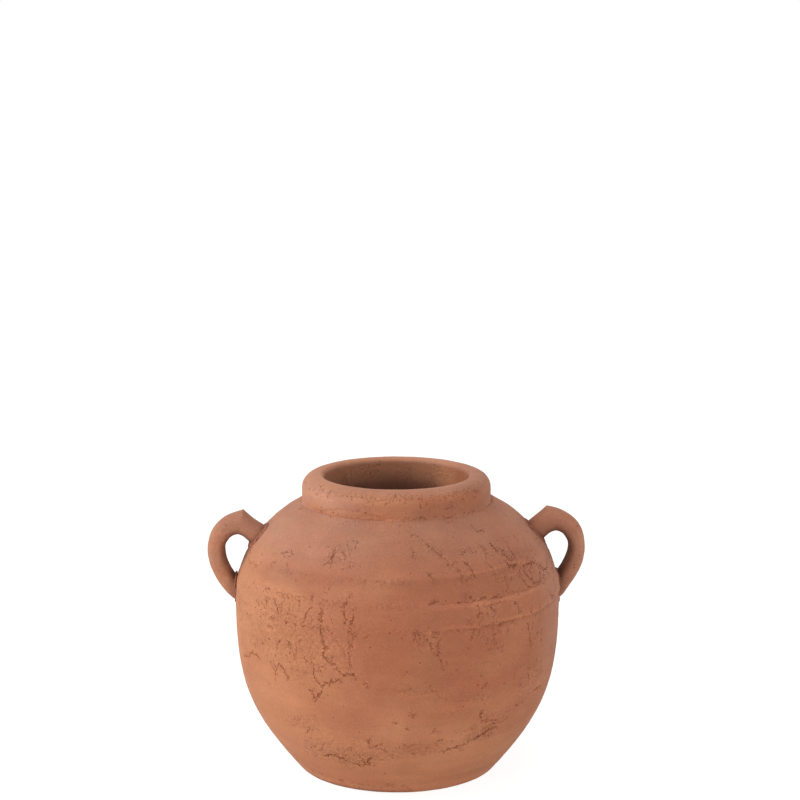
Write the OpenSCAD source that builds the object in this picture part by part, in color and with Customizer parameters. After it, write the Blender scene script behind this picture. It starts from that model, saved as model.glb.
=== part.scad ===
// Terracotta vase with a rolled rim, a belly band and two ear handles.
// Millimetres, +Z up. The origin is the centre of the foot, on the table. +X runs to the right handle.

/* [Body] */
// Outside diameter at the widest part of the belly
belly_d = 256; // [230:1:310]
// Height of the widest part above the table
belly_z = 134.5; // [112:0.5:165]
// Outside diameter of the flat foot
foot_d = 156; // [130:1:188]
// Radius of the rounded edge of the foot
foot_round = 3.2; // [2:0.1:6]
// Angle between the table and the wall where it leaves the foot
foot_angle = 50; // [42:1:60]
// How far the wall runs on in the foot's direction before it turns upright
foot_pull = 63; // [45:1:76]
// How far the wall stays upright below the widest part
belly_low_pull = 61; // [45:1:74]
// How far the wall stays upright above the widest part
belly_high_pull = 37; // [28:1:45]
// Thickness of the thrown wall
wall_t = 9; // [6:0.5:11]
// Thickness of the floor
floor_t = 11; // [9:0.5:14]
// How much wider the floor is on top than underneath
floor_bevel = 11; // [4:0.5:14]

/* [Shoulder] */
// Height of the joint between the shoulder and the rim above the widest part
shoulder_h = 78.7; // [72:0.1:95]
// Slope of the shoulder where it meets the rim
shoulder_angle = 28.5; // [22:0.5:36]
// How far the shoulder runs straight below the rim
shoulder_pull = 35.4; // [28:0.2:42]
// Height of the throwing ridge above the middle of the belly band
ridge_rise = 26.7; // [20:0.1:32]
// How far the throwing ridge stands out
ridge_proud = 0.7; // [0.3:0.1:1.5]
// Radius of the throwing ridge's round back
ridge_r = 3; // [2:0.5:4]

/* [Rim] */
// Outside diameter of the rim
rim_d = 148; // [130:1:178]
// Diameter of the mouth
mouth_d = 114; // [90:1:137]
// Height of the rim above its joint with the shoulder
rim_h = 20.8; // [17:0.2:28]
// Radius of the rim's outer roll, which is at most two thirds of the rim's thickness
rim_round = 11.1; // [7:0.1:14]
// Radius of the rim's inner edge, which is at most a third of the rim's thickness
lip_round = 5; // [3:0.5:8]

/* [Band] */
// Height of the middle of the belly band above the widest part
band_rise = 16.8; // [12:0.1:22]
// Height of the belly band from edge to edge
band_h = 15; // [10:0.5:20]
// How far the belly band stands out from the wall
band_proud = 1.3; // [0.8:0.1:3]
// Height of the belly band's sloping edges
band_edge = 1.2; // [0.6:0.1:2.5]
// How much higher the joint under the band is inside than outside
joint_scarf = 4; // [0:0.5:8]

/* [Handles] */
// How far each handle stands out beyond the belly
handle_reach = 21.5; // [19:0.1:27]
// Height of the handle's outermost point above the middle of the belly band
loop_rise = 26.2; // [22:0.1:31]
// Outside radius of the handle's round top
loop_r = 26.7; // [24:0.1:30]
// Outside radius of the handle's lower leg
leg_r = 57.5; // [52:0.5:64]
// Thickness of the handle's bar, seen from the front
bar_t = 15.2; // [12:0.1:18.4]
// Depth of the handle's bar from front to back
bar_w = 21; // [18:0.5:28]
// Angle that the lower leg turns through before it ends inside the belly
leg_sweep = 58; // [54:1:62]
// Slope of the short root between the handle's corner and the shoulder
root_angle = 40.6; // [36:0.2:46]
// Length of that root, with the end that the shoulder trims away
root_run = 28; // [24:1:32]

/* [Luting] */
// Width of the clay worked round each handle root
luting_w = 4; // [2.5:0.1:5]
// Height of that clay above the surface it lies on
luting_h = 3.5; // [2:0.1:4.5]

/* [Hidden] */
$fn = 96;
curve_steps = 20;
arc_steps = 8;

clay = [0.73, 0.46, 0.34];
wet_clay = [0.66, 0.39, 0.29];

belly_r = belly_d / 2;
foot_r = foot_d / 2;
rim_r = rim_d / 2;
mouth_r = mouth_d / 2;
rim_t = rim_r - mouth_r;
neck_z = belly_z + shoulder_h;
crest_z = neck_z + rim_h;
band_z = belly_z + band_rise;
band_low_z = band_z - band_h / 2;
band_high_z = band_z + band_h / 2;
ridge_z = band_z + ridge_rise;
loop_z = band_z + loop_rise;
handle_x = belly_r + handle_reach;

// Unit vector at an angle above level
function heading(a) = [cos(a), sin(a)];

// Cubic curve through its first and last points, pulled towards the two between
function pulled_curve(p) = [for (i = [0:curve_steps]) let (t = i / curve_steps, s = 1 - t)
    p[0] * s ^ 3 + p[1] * 3 * s ^ 2 * t + p[2] * 3 * s * t ^ 2 + p[3] * t ^ 3];

// Points along an arc from angle a0 to angle a1
function arc(centre, r, a0, a1) =
    [for (i = [0:arc_steps]) centre + r * heading(a0 + (a1 - a0) * i / arc_steps)];

function without_first(points) = [for (i = [1:len(points) - 1]) points[i]];
function backwards(points) = [for (i = [len(points) - 1:-1:0]) points[i]];
function last(points) = points[len(points) - 1];

// A rising profile moved towards the axis by d, or away from it where d is negative
function inset(points, d) = [for (i = [0:len(points) - 1])
    let (along = points[min(i + 1, len(points) - 1)] - points[max(i - 1, 0)])
    points[i] + d * [-along.y, along.x] / norm(along)];

// Point of a rising profile at height z
function at_height(points, z) = [lookup(z, [for (p = points) [p.y, p.x]]), z];

// Stretch of a rising profile from height z0 to height z1
function stretch(points, z0, z1) = concat(
    [at_height(points, z0)],
    [for (p = points) if (p.y > z0 && p.y < z1) p],
    [at_height(points, z1)]);

// The wall's outer profile from the foot's rounded edge to the rim
foot_edge = arc([foot_r, foot_round], foot_round, -90, foot_angle - 90);
wall_start = last(foot_edge);
belly_point = [belly_r, belly_z];
neck_point = [rim_r, neck_z];
lower_curve = pulled_curve([wall_start, wall_start + foot_pull * heading(foot_angle),
                            belly_point - [0, belly_low_pull], belly_point]);
upper_curve = pulled_curve([belly_point, belly_point + [0, belly_high_pull],
                            neck_point + shoulder_pull * heading(-shoulder_angle), neck_point]);
wall_outside = concat(lower_curve, without_first(upper_curve));
wall_inside = inset(wall_outside, wall_t);
neck_inside = last(wall_inside);

floor_top_r = at_height(wall_inside, floor_t).x;
floor_under_r = floor_top_r - floor_bevel;
joint_inside_z = band_z + joint_scarf;

// The handle's round top turns a quarter circle, up to the corner where its root runs down to the shoulder
loop_centre_x = handle_x - loop_r;
leg_centre_x = handle_x - leg_r;
corner = [loop_centre_x, loop_z + loop_r - bar_t / 2];
root_heading = 180 + root_angle;
mitre_heading = 180 + root_angle / 2;
mitre_run = bar_t / 2 * tan(root_angle / 2);

// Solid filled out to the wall's outer face, grown by an even skin
module filled_form(skin) {
    outside = inset(wall_outside, -skin);
    rotate_extrude()
        polygon(concat([[0, outside[0].y]], outside, [[0, last(outside).y]]));
}

module throwing_ridge() {
    ridge_back = at_height(wall_outside, ridge_z).x + ridge_proud - ridge_r;
    rotate_extrude()
        translate([ridge_back, ridge_z])
            circle(r = ridge_r);
}

// The band's strip, with its back moved into the wall by a depth
module band_strip(back_depth) {
    back = inset(stretch(wall_outside, band_low_z, band_high_z), back_depth);
    face = inset(stretch(wall_outside, band_low_z + band_edge, band_high_z - band_edge), -band_proud);
    edges = [at_height(wall_outside, band_low_z), at_height(wall_outside, band_high_z)];
    rotate_extrude()
        polygon(concat(back, [edges[1]], backwards(face), [edges[0]]));
}

// Everything that the handles and their luting are pressed on
module pressed_on() {
    filled_form(0);
    throwing_ridge();
    band_strip(wall_t / 2);
}

// Round-sided cross-section of the handle's bar, grown all round, with its middle at distance x
module bar_section(grow, x = 0) {
    thick = bar_t + 2 * grow;
    flat_w = bar_w - bar_t;
    for (side = [-1, 1])
        translate([x, side * flat_w / 2])
            circle(d = thick);
    translate([x, 0])
        square([thick, flat_w], center = true);
}

// Turns a child's Z axis to an angle above level in the handle's plane, at a point of that plane
module aimed(point, a) {
    translate([point.x, 0, point.y])
        rotate([0, 90 - a, 0])
            children();
}

// Bar bent upwards from level, through an angle, round a centre at the handle's level
module bent_bar(centre_x, outside_r, sweep, grow) {
    translate([centre_x, 0, 0])
        rotate([90, 0, 0])
            rotate_extrude(angle = sweep)
                bar_section(grow, outside_r - bar_t / 2);
}

module beyond_mitre() {
    reach = 4 * bar_w;
    aimed(corner, mitre_heading)
        translate([-reach / 2, -reach / 2, 0])
            cube(reach);
}

module root_bar(grow) {
    intersection() {
        aimed(corner, root_heading)
            translate([0, 0, -mitre_run])
                linear_extrude(root_run + mitre_run)
                    bar_section(grow);
        beyond_mitre();
    }
}

module leg_bar(grow) {
    translate([0, 0, loop_z])
        mirror([0, 0, 1])
            bent_bar(leg_centre_x, leg_r, leg_sweep, grow);
}

module loop_bar() {
    translate([0, 0, loop_z])
        bent_bar(loop_centre_x, loop_r, 90, 0);
    difference() {
        aimed(corner, 180)
            linear_extrude(mitre_run)
                bar_section(0);
        beyond_mitre();
    }
}

module ear() {
    difference() {
        union() {
            leg_bar(0);
            loop_bar();
            root_bar(0);
        }
        pressed_on();
    }
}

module upper_wad() {
    difference() {
        intersection() {
            root_bar(luting_w);
            filled_form(luting_h);
        }
        root_bar(0);
        pressed_on();
    }
}

module lower_wad() {
    difference() {
        intersection() {
            leg_bar(luting_w);
            filled_form(band_proud + luting_h);
        }
        leg_bar(0);
        pressed_on();
    }
}

module floor_disc() {
    color(clay)
        cylinder(h = floor_t, r1 = floor_under_r, r2 = floor_top_r);
}

module lower_wall() {
    outside = concat(foot_edge, without_first(stretch(wall_outside, wall_start.y, band_z)));
    inside = stretch(wall_inside, floor_t, joint_inside_z);
    color(clay)
        rotate_extrude()
            polygon(concat([[floor_under_r, 0]], outside, backwards(inside)));
}

module shoulder_wall() {
    outside = stretch(wall_outside, band_z, neck_z);
    inside = stretch(wall_inside, joint_inside_z, neck_inside.y);
    color(clay) {
        rotate_extrude()
            polygon(concat(outside, backwards(inside)));
        throwing_ridge();
    }
}

module belly_band() {
    color(clay)
        band_strip(0);
}

module rim_collar() {
    roll_r = min(rim_round, rim_t * 2 / 3);
    lip_r = min(lip_round, rim_t / 3);
    roll = arc([rim_r - roll_r, crest_z - roll_r], roll_r, 0, 90);
    lip = arc([mouth_r + lip_r, crest_z - lip_r], lip_r, 90, 180);
    mouth_foot = [mouth_r, neck_inside.y + (neck_inside.x - mouth_r) * tan(shoulder_angle)];
    color(clay)
        rotate_extrude()
            polygon(concat([neck_point], roll, lip, [mouth_foot, neck_inside]));
}

module left_handle() {
    color(clay)
        mirror([1, 0, 0])
            ear();
}

module right_handle() {
    color(clay)
        ear();
}

module left_upper_luting() {
    color(wet_clay)
        mirror([1, 0, 0])
            upper_wad();
}

module left_lower_luting() {
    color(wet_clay)
        mirror([1, 0, 0])
            lower_wad();
}

module right_upper_luting() {
    color(wet_clay)
        upper_wad();
}

module right_lower_luting() {
    color(wet_clay)
        lower_wad();
}

floor_disc();
lower_wall();
shoulder_wall();
belly_band();
rim_collar();
left_handle();
right_handle();
left_upper_luting();
left_lower_luting();
right_upper_luting();
right_lower_luting();
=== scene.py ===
import math
import random

import bmesh
import bpy
import numpy as np
from mathutils import Matrix, Vector, noise
from mathutils.kdtree import KDTree


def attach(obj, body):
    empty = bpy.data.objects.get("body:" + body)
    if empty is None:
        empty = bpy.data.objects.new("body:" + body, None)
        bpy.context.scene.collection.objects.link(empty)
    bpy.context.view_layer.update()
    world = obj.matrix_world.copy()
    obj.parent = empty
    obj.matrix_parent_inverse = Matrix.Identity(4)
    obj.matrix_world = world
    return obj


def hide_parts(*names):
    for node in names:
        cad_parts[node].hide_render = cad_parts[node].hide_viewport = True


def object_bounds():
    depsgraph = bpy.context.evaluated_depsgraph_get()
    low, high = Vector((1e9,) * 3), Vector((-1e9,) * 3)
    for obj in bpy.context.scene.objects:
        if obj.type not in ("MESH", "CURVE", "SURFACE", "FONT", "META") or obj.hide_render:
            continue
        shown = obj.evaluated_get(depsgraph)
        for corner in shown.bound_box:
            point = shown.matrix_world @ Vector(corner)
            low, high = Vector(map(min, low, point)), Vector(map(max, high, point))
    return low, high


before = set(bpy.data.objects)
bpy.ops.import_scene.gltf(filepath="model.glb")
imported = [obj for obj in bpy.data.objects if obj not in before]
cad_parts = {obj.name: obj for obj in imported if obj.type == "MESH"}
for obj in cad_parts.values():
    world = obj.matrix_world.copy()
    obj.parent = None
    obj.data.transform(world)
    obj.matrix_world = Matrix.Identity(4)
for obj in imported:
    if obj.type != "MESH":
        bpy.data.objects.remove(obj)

CAD_BOX = [list(corner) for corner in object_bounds()]

# Lengths are in millimetres up to the meshes, which are in metres.
MM = 0.001
WELD = 1e-6

# The wall's outer line, as the CAD wall has it
FOOT_R = 78.0
FOOT_ROUND = 3.2
FOOT_ANGLE = math.radians(50.0)
FOOT_PULL = 63.0
BELLY_R = 128.0
BELLY_Z = 134.5
BELLY_LOW_PULL = 61.0
BELLY_HIGH_PULL = 37.0
SHOULDER_ANGLE = math.radians(28.5)
SHOULDER_PULL = 35.4
NECK_R = 74.0
NECK_Z = 213.2
WALL_T = 9.0
FLOOR_T = 11.0
FLOOR_BEVEL = 11.0
JOINT_Z = 151.3
JOINT_SCARF = 4.0
BAND_LOW = 143.8
BAND_TOP = 158.8
BAND_PROUD = 1.3
BAND_SPREAD = 1.6
BAND_LIP = 0.7
BAND_SINK = 0.07
RIDGE_Z = 178.0
MOUTH_R = 57.0
RIM_CREST = 234.0
RIM_ROUND = 10.6
LIP_ROUND = 3.4
RIM_SHIFT = 0.75
NECK_INSIDE = (69.7, 205.4)
NECK_FILLET = 2.2
BORE_LOW = 207.0

CURVE_STEPS = 80
ARC_STEPS = 10


def pulled_curve(start, start_pull, end_pull, end):
    """Points of a cubic curve from start to end, drawn towards the two pulls."""
    t = np.linspace(0.0, 1.0, CURVE_STEPS)[:, None]
    corners = [np.array(corner, float) for corner in (start, start_pull, end_pull, end)]
    shares = ((1 - t) ** 3, 3 * (1 - t) ** 2 * t, 3 * (1 - t) * t**2, t**3)
    return sum(share * corner for share, corner in zip(shares, corners))


def arc(centre, radius, first, last):
    """Points of an arc between two angles in degrees."""
    turn = np.radians(np.linspace(first, last, ARC_STEPS))
    return np.column_stack([centre[0] + radius * np.cos(turn), centre[1] + radius * np.sin(turn)])


def evenly(line, spacing):
    """The same line with its points about spacing apart."""
    line = np.array(line, float)
    along = np.concatenate(([0.0], np.cumsum(np.hypot(*np.diff(line, axis=0).T))))
    count = max(2, round(along[-1] / spacing) + 1)
    places = np.linspace(0.0, along[-1], count)
    return np.column_stack([np.interp(places, along, line[:, axis]) for axis in (0, 1)])


def stretch(line, low, high):
    """The part of a rising line between two heights."""
    middle = line[(line[:, 1] > low) & (line[:, 1] < high)]
    ends = [[np.interp(z, line[:, 1], line[:, 0]), z] for z in (low, high)]
    return np.vstack([ends[:1], middle, ends[1:]])


def inset(line, depth):
    """A rising line moved inwards by depth."""
    run = np.gradient(line, axis=0)
    run /= np.linalg.norm(run, axis=1)[:, None]
    return line - depth * np.column_stack([run[:, 1], -run[:, 0]])


foot_arc = arc((FOOT_R, FOOT_ROUND), FOOT_ROUND, -90.0, -math.degrees(math.pi / 2 - FOOT_ANGLE))
wall_start = foot_arc[-1]
lower_line = pulled_curve(
    wall_start,
    wall_start + FOOT_PULL * np.array([math.cos(FOOT_ANGLE), math.sin(FOOT_ANGLE)]),
    (BELLY_R, BELLY_Z - BELLY_LOW_PULL),
    (BELLY_R, BELLY_Z),
)
upper_line = pulled_curve(
    (BELLY_R, BELLY_Z),
    (BELLY_R, BELLY_Z + BELLY_HIGH_PULL),
    (NECK_R + SHOULDER_PULL * math.cos(SHOULDER_ANGLE), NECK_Z - SHOULDER_PULL * math.sin(SHOULDER_ANGLE)),
    (NECK_R, NECK_Z),
)
OUTSIDE = np.vstack([lower_line, upper_line[1:]])
INSIDE = inset(OUTSIDE, WALL_T)
SKIN = np.vstack([OUTSIDE, arc((NECK_R - RIM_ROUND, RIM_CREST - RIM_ROUND), RIM_ROUND, 0.0, 85.0)])
BAND_ROUNDED = 1.0


def radius_on(line, z):
    """The radius of a rising line at a height."""
    return np.interp(z, line[:, 1], line[:, 0])


def skin_radius(z):
    """The vase's outer radius at a height, with the band and the rim on it."""
    on_band = (z > BAND_LOW + BAND_ROUNDED) & (z < BAND_TOP - BAND_ROUNDED)
    return radius_on(SKIN, z) + BAND_PROUD * on_band


def on_skin(degrees, z):
    """A point of the outer skin; degrees are counted from the front, plus to the right."""
    turn = math.radians(degrees)
    radius = float(skin_radius(z))
    return (radius * math.sin(turn), -radius * math.cos(turn), z)


# Cracks: how wide, and the places they pass, as degrees from the front and height
CRACKS = [
    (1.0, [(-29, 160), (-28.5, 153), (-28.5, 141), (-28, 136), (-27, 127), (-27.5, 122), (-25, 116), (-24, 113)]),
    (0.9, [(-23.5, 113), (-21.5, 109), (-20.5, 107), (-19, 109), (-18.5, 108), (-17, 110), (-16, 106)]),
    (1.0, [(-21, 104), (-24, 102), (-26.5, 100), (-28.5, 96), (-29, 91), (-31.5, 86), (-32, 81)]),
    (0.9, [(-31.5, 110), (-31.5, 106), (-31, 102), (-29, 98)]),
    (0.9, [(-34, 93), (-33.5, 91), (-32.5, 92), (-32, 88), (-31.5, 85)]),
    (0.8, [(-13.5, 103), (-12.5, 102), (-12.5, 98)]),
    (0.8, [(-20.5, 162), (-21, 160), (-20, 152), (-19.5, 147)]),
    (0.9, [(-17, 155), (-17, 151), (-18, 145), (-19, 138)]),
    (0.7, [(-17, 143), (-17, 138), (-18, 127), (-18.5, 113), (-18.5, 108)]),
    (0.8, [(-32.5, 158), (-32.5, 155), (-34, 152), (-35, 145)]),
    (0.8, [(-44.5, 143), (-42.5, 141), (-39, 143), (-38.5, 141), (-36.5, 144)]),
    (0.8, [(-36.5, 144), (-35.5, 140), (-34.5, 144), (-33, 145), (-31.5, 142)]),
    (0.6, [(-30, 149), (-29, 150), (-27.5, 143)]),
    (0.9, [(-72.5, 97), (-66, 102), (-63, 106), (-59.5, 108), (-57.5, 104)]),
    (0.7, [(-63, 106), (-61.5, 111), (-59, 116)]),
    (0.9, [(-49, 100), (-48.5, 103), (-46.5, 107), (-44, 103), (-43, 98), (-42, 95)]),
    (0.8, [(-51.5, 107), (-50.5, 103), (-49, 100), (-49, 93)]),
    (0.5, [(-57, 137), (-56.5, 128), (-55, 119)]),
    (0.6, [(-56, 161), (-54, 155), (-53, 146)]),
    (0.7, [(-50.5, 156), (-47.5, 151), (-46.5, 146), (-46, 142)]),
    (0.8, [(-45, 128), (-46.5, 123), (-47.5, 117)]),
    (0.7, [(-41, 128), (-41, 123), (-40.5, 121)]),
    (0.8, [(-63.5, 158), (-60, 157), (-53.5, 161), (-48, 159), (-43.5, 157)]),
    (0.7, [(-33.5, 165), (-32.5, 160)]),
    (1.3, [(42.5, 196), (42.5, 193), (43, 189)]),
    (0.9, [(45.5, 190), (44.5, 187), (47, 184)]),
    (1.2, [(50.5, 188), (49.5, 183)]),
    (1.4, [(43.5, 180), (46, 179), (49.5, 178)]),
    (0.9, [(44, 178), (46.5, 178)]),
    (1.1, [(52.5, 175), (54, 176), (62, 174)]),
    (1.1, [(62, 174), (62.5, 172), (61, 165), (60, 162)]),
    (1.0, [(60.5, 162), (57, 162), (54, 163)]),
    (0.8, [(52.5, 175), (52, 171), (54, 166), (56, 163)]),
    (0.7, [(48, 175), (49, 171), (50.5, 164), (52, 161)]),
    (0.9, [(64, 172), (67, 167), (70, 160)]),
    (0.8, [(73, 170), (69, 166), (65, 168)]),
    (0.9, [(25, 188), (26, 184), (28, 176)]),
    (0.6, [(31, 195), (30.5, 192), (31.5, 191)]),
    (0.7, [(39, 204), (41, 202), (43.5, 203)]),
    (0.6, [(3, 208), (9, 203), (16, 193), (20, 184)]),
    (0.8, [(23.5, 160), (27.5, 162), (29, 163), (29.5, 160), (30, 157)]),
    (0.8, [(31.5, 159), (33, 161), (34.5, 160)]),
    (0.7, [(35.5, 159), (40, 160)]),
    (0.8, [(16, 161), (16.5, 159), (18.5, 161), (20, 159), (22, 160)]),
    (0.6, [(21.5, 168), (22, 158)]),
    (0.7, [(41.5, 155), (44, 148), (46.5, 143)]),
    (0.8, [(10, 143), (11, 141), (12, 142)]),
    (0.8, [(30, 145), (33.5, 144), (34, 141), (36.5, 142), (38, 143)]),
    (0.6, [(27.5, 138), (27, 132)]),
    (0.6, [(31, 136), (32, 130), (34.5, 120)]),
    (0.7, [(47.5, 137), (49, 128), (50.5, 114)]),
    (0.7, [(8, 136), (8.5, 132), (9.5, 129)]),
    (0.6, [(4, 140), (6, 141), (7, 135), (6, 132), (4, 136), (4, 140)]),
    (0.7, [(11.5, 138), (11, 128), (12.5, 117), (13.5, 112)]),
    (0.7, [(50, 102), (49.5, 96), (51, 88)]),
    (0.8, [(62, 78), (58, 77), (55.5, 77)]),
    (1.2, [(27, 49), (30, 51), (32.5, 56), (38, 58)]),
    (1.1, [(31, 52), (34, 56), (38, 56)]),
    (1.0, [(30, 57), (34, 60), (37, 61)]),
    (0.9, [(28, 76), (29, 66), (37.5, 63)]),
    (1.1, [(15, 42), (19.5, 45), (25.5, 47), (26.5, 51)]),
    (1.4, [(-34.5, 33), (-31.5, 36), (-28, 36), (-24.5, 32), (-22.5, 32)]),
    (1.2, [(-18, 33), (-15, 30), (-14, 36), (-13, 39)]),
    (1.0, [(-12.5, 55), (-13, 48), (-10, 50), (-8.5, 53)]),
    (1.0, [(-22.5, 32), (-19, 29), (-16, 30)]),
    (0.6, [(0.5, 50), (5, 51), (6.5, 53)]),
    (0.5, [(-2.5, 98), (1, 98), (5, 97)]),
    (0.5, [(8.5, 99), (10.5, 95), (12.5, 91), (16, 87)]),
    (0.5, [(17, 87), (21.5, 86), (27, 85), (30.5, 90)]),
    (0.7, [(26, 158), (26.5, 153), (25.5, 149)]),
    (0.6, [(28.5, 158), (29.5, 153), (29, 149)]),
    (0.7, [(32, 159), (31.5, 156), (32.5, 150), (31, 147)]),
    (0.7, [(-39, 52), (-37.5, 56), (-34, 59)]),
    (0.8, [(-30, 197), (-29, 186)]),
    (0.6, [(-27, 197), (-23, 190)]),
]

# Fields of fine cracks: middle in degrees from the front and height, reach across and up, how many, their slope
# and its spread
CRACKLE = [
    (-46, 136, 15, 20, 36, 85, 40),
    (-20, 126, 7, 22, 14, 85, 40),
    (-40, 160, 20, 2.5, 9, 10, 40),
    (-40, 142, 13, 2, 8, 10, 40),
    (-30, 104, 8, 10, 16, 60, 60),
    (50, 178, 15, 14, 22, 40, 60),
    (36, 161, 30, 2, 16, 8, 35),
    (32, 142, 28, 2, 20, 5, 30),
    (40, 126, 18, 14, 20, 88, 20),
    (9, 126, 6, 14, 6, 85, 25),
    (34, 151, 14, 5, 12, 60, 60),
    (16, 91, 16, 5, 6, -10, 60),
    (50, 90, 9, 16, 9, 60, 50),
    (4, 47, 20, 8, 18, 5, 25),
    (-27, 41, 16, 9, 24, -10, 35),
    (32, 57, 9, 8, 14, 25, 12),
    (20, 73, 26, 9, 7, 5, 40),
    (16, 194, 14, 12, 6, -50, 25),
    (-28, 190, 8, 8, 9, 80, 40),
    (-56, 184, 14, 8, 7, 5, 20),
    (-5, 186, 30, 20, 6, 30, 90),
]

# Fields of pits, in the same terms
PITTED = [
    (-5, 229.5, 60, 2.4, 110, 0, 90),
    (-26, 5.5, 30, 3.5, 60, 0, 60),
    (-5, 226, 60, 3, 16, 0, 90),
    (38, 219, 14, 4, 16, 10, 60),
    (30, 213.5, 35, 1.3, 36, 5, 40),
    (-35, 213.5, 30, 1.2, 16, 5, 40),
    (-42, 160, 24, 1.6, 44, 10, 60),
    (-38, 142, 14, 1.6, 32, 10, 60),
    (34, 142, 30, 1.6, 26, 10, 60),
    (34, 160.5, 30, 1.6, 18, 10, 60),
    (-46, 128, 22, 24, 26, 80, 60),
    (-26, 42, 18, 12, 22, 0, 90),
    (50, 176, 16, 14, 20, 40, 90),
]

# The fine cracks and pits: length of a leg and its spread, width, and how much the way turns at a leg
CRACK_LEG = 2.9
PIT_LEG = 0.9
LEG_SPREAD = (0.55, 1.45)
FINE_WIDTH = (0.45, 0.72)
AIM_TURN = 0.5

# The sides and the back, which the lists above leave plain
BACK_TURNS = (72.0, 288.0)
BACK_HEIGHTS = ((30.0, 140.0), (85.0, 150.0), (162.0, 206.0))
BACK_LEG = (5.0, 12.0)
BACK_WIDTH = (0.55, 1.0)
BACK_LOWEST, BACK_HIGHEST = 14.0, 208.0
BACK_CRACKS = 30
BACK_FIELDS = 18

# A crack's way: its steps, kinks and side branches, then how wide its points stand open, and the chips beside it
CRACK_STEP = 0.45
CRACK_KINK = 0.3
KINK_SIZE = 2.5
BRANCH_EVERY = 6
BRANCH_SHARE = 0.75
BRANCH_ANGLE = (0.6, 1.3)
BRANCH_REACH = (0.6, 2.8)
BRANCH_WIDTH = 0.6
TIP_TAPER = 5.0
TIP_WIDTH = 0.35
OPEN_WIDTH = (0.45, 1.1)
CRACK_GAPS = 0.14
GAP_WIDTH = 0.12
CHIP_SHARE = 0.13
CHIP_TURN = 0.7
CHIP_RISE = 1.4
CHIP_WIDTH = (0.6, 1.1)

# A crack's cut: its reach for a width of 1, what every crack has besides, its depth, and its raised edge
CRACK_REACH = 0.32
CRACK_SPREAD = 0.33
CRACK_DEPTH = 0.6
CRACK_LIP = 0.3


def fine_routes(patches, leg, seed):
    """Short thin cracks strewn over each field, their legs about as long as leg."""
    draw = random.Random(seed)
    routes = []
    for middle, height, across, up, count, slope, spread in patches:
        for _ in range(count):
            turn = middle + across * draw.uniform(-1.0, 1.0)
            z = height + up * draw.uniform(-1.0, 1.0)
            aim = math.radians(slope + spread * draw.uniform(-1.0, 1.0))
            route = [(turn, z)]
            for _ in range(draw.randint(1, 3)):
                reach = leg * draw.uniform(*LEG_SPREAD)
                aim += draw.gauss(0.0, AIM_TURN)
                z += reach * math.sin(aim)
                turn += math.degrees(reach * math.cos(aim) / float(skin_radius(z)))
                route.append((turn, z))
            routes.append((draw.uniform(*FINE_WIDTH), route))
    return routes


def back_fields(count, seed):
    """Fields of fine cracks for the sides and the back."""
    draw = random.Random(seed)
    fields = []
    for _ in range(count):
        place = draw.uniform(*BACK_TURNS), draw.uniform(32.0, 198.0)
        reach = draw.uniform(6.0, 18.0), draw.uniform(4.0, 16.0)
        fields.append((*place, *reach, draw.randint(4, 12), draw.uniform(0.0, 180.0), draw.uniform(20.0, 50.0)))
    return fields


def back_routes(count, seed):
    """Long cracks for the sides and the back."""
    draw = random.Random(seed)
    routes = []
    for _ in range(count):
        turn = draw.uniform(*BACK_TURNS)
        z = draw.choice([draw.uniform(*heights) for heights in BACK_HEIGHTS])
        aim = draw.uniform(-2.4, -0.7)
        route = [(turn, z)]
        for _ in range(draw.randint(2, 6)):
            aim += draw.gauss(0.0, AIM_TURN)
            reach = draw.uniform(*BACK_LEG)
            z = min(BACK_HIGHEST, max(BACK_LOWEST, z + reach * math.sin(aim)))
            turn += math.degrees(reach * math.cos(aim) / float(skin_radius(z)))
            route.append((turn, z))
        routes.append((draw.uniform(*BACK_WIDTH), route))
    return routes


def wander(route, draw):
    """A route with kinks added at every size."""
    line = list(route)
    busy = True
    while busy:
        busy = False
        kinked = line[:1]
        for (turn_a, z_a), (turn_b, z_b) in zip(line, line[1:]):
            radius = float(skin_radius((z_a + z_b) / 2))
            across = math.radians(turn_b - turn_a) * radius
            rise = z_b - z_a
            length = math.hypot(across, rise)
            if length > CRACK_STEP:
                busy = True
                push = draw.gauss(0.0, CRACK_KINK) * min(1.0, (KINK_SIZE / length) ** 2)
                turn = (turn_a + turn_b) / 2 - math.degrees(rise * push / radius)
                kinked.append((turn, (z_a + z_b) / 2 + across * push))
            kinked.append((turn_b, z_b))
        line = kinked
    return line


def side_branch(start, ahead, draw):
    """A short branch that leaves a crack at start, aside from where the crack goes ahead."""
    turn, z = start
    radius = float(skin_radius(z))
    aim = math.atan2(ahead[1] - z, math.radians(ahead[0] - turn) * radius)
    aim += draw.choice((-1, 1)) * draw.uniform(*BRANCH_ANGLE)
    reach = draw.uniform(*BRANCH_REACH)
    tip = (turn + math.degrees(reach * math.cos(aim) / radius), z + reach * math.sin(aim))
    return wander([start, tip], draw)


def grow_cracks(routes, seed):
    """Points along every crack and its side branches, each with its width."""
    draw = random.Random(seed)
    points = []
    for width, route in routes:
        line = wander(route, draw)
        strands = [(width, line)]
        for start in range(BRANCH_EVERY // 2, len(line) - 2, BRANCH_EVERY):
            if draw.random() < BRANCH_SHARE:
                strands.append((BRANCH_WIDTH * width, side_branch(line[start], line[start + 2], draw)))
        for strand_width, strand in strands:
            for number, (turn, z) in enumerate(strand):
                share = (number + 0.5) / len(strand)
                taper = min(1.0, TIP_TAPER * min(share, 1.0 - share) + TIP_WIDTH)
                opened = GAP_WIDTH if draw.random() < CRACK_GAPS else draw.uniform(*OPEN_WIDTH)
                points.append((on_skin(turn, z), strand_width * taper * opened))
                if draw.random() < CHIP_SHARE:
                    beside = (turn + draw.uniform(-CHIP_TURN, CHIP_TURN), z + draw.uniform(-CHIP_RISE, CHIP_RISE))
                    points.append((on_skin(*beside), strand_width * draw.uniform(*CHIP_WIDTH)))
    return points


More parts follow.
